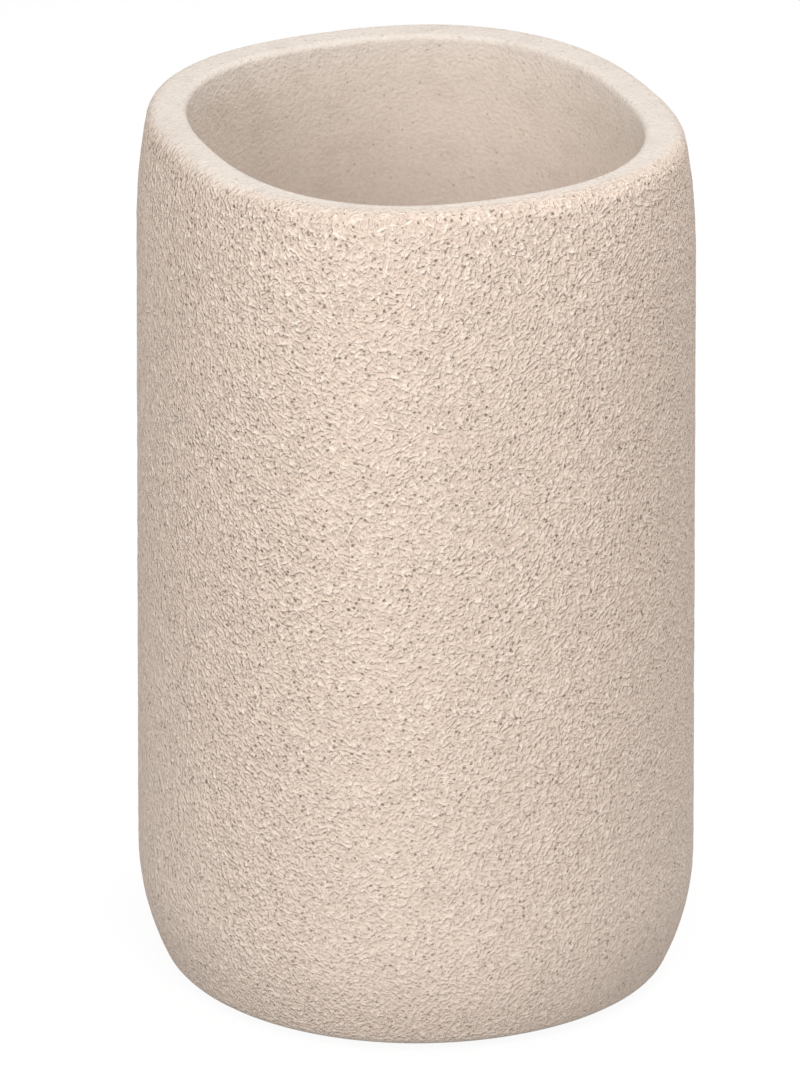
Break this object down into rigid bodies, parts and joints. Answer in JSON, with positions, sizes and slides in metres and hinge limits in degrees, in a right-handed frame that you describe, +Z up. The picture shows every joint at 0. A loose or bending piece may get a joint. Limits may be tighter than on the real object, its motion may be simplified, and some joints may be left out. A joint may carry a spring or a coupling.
{
  "type": "bathroom tumbler",
  "caption": "Thick-walled cast stone-look tumbler with a soft rounded-square mouth, a near-round foot drawn in over a wide curve, and soft anti-slip pads under it.",
  "frame": {"origin": "middle of the foot pads' undersides, on the surface that the tumbler stands on", "axes": "+Z up out of the mouth, -Y to the front; the mouth's flatter sides face X and Y, and the outline is longer along Y than along X"},
  "size_m": [0.0678, 0.0698, 0.11],
  "materials": {
    "cast_stone": "matte, finely wrinkled outside, smooth rim and inside",
    "pad_rubber": "soft milky anti-slip rubber",
    "adhesive": "thin translucent adhesive film"
  },
  "bodies": {
    "root": {"tumbler_body": "cast_stone", "foot_pad_front_left": "pad_rubber", "foot_pad_front_right": "pad_rubber", "foot_pad_back_left": "pad_rubber", "foot_pad_back_right": "pad_rubber", "adhesive_film_front_left": "adhesive", "adhesive_film_front_right": "adhesive", "adhesive_film_back_left": "adhesive", "adhesive_film_back_right": "adhesive"}
  },
  "joints": []
}
